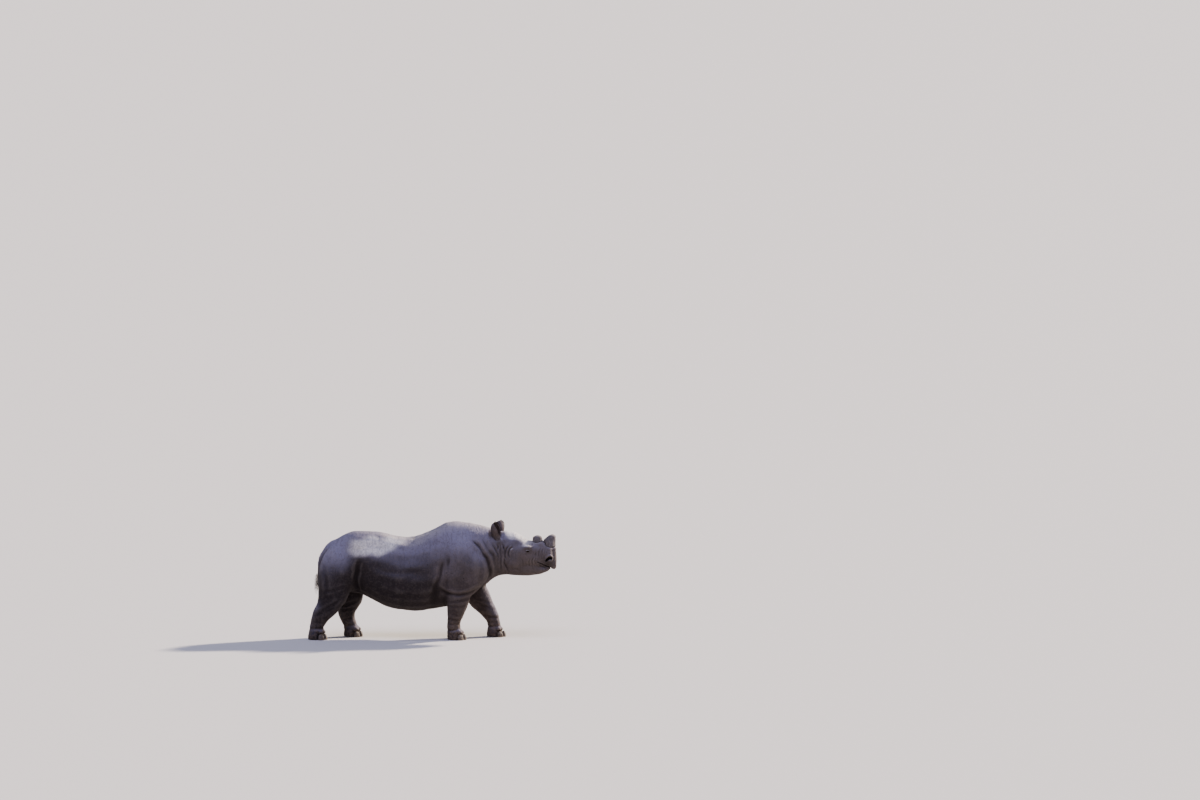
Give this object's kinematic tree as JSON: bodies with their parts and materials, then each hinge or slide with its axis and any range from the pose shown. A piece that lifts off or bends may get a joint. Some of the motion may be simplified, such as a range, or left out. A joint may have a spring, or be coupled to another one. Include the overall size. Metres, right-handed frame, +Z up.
{
  "type": "black rhinoceros, still life-size model",
  "caption": "Life-size black rhinoceros, walking with its head held level and both horns cut to stumps; a still museum model.",
  "frame": {"origin": "on the floor, under the middle of the animal's length and width", "axes": "+X forward along the body to the nose, +Y to the animal's left, +Z up"},
  "size_m": [3.3178, 0.7814, 1.5667],
  "materials": {
    "hide": "matt, dry, wrinkled",
    "horn": "matt, fibrous, weathered",
    "nail": "matt, worn",
    "eye": "wet gloss"
  },
  "bodies": {
    "root": {"head": "hide", "lower_jaw": "hide", "neck": "hide", "trunk": "hide", "tail": "hide", "ear_right": "hide", "ear_left": "hide", "leg_front_right": "hide", "leg_front_left": "hide", "leg_hind_right": "hide", "leg_hind_left": "hide", "foot_front_right": "hide", "foot_front_left": "hide", "foot_hind_right": "hide", "foot_hind_left": "hide", "horn_front_stump": "horn", "horn_rear_stump": "horn", "eye_right": "eye", "eye_left": "eye", "nail_front_right_1": "nail", "nail_front_right_2": "nail", "nail_front_right_3": "nail", "nail_front_left_1": "nail", "nail_front_left_2": "nail", "nail_front_left_3": "nail", "nail_hind_right_1": "nail", "nail_hind_right_2": "nail", "nail_hind_right_3": "nail", "nail_hind_left_1": "nail", "nail_hind_left_2": "nail", "nail_hind_left_3": "nail"}
  },
  "joints": []
}
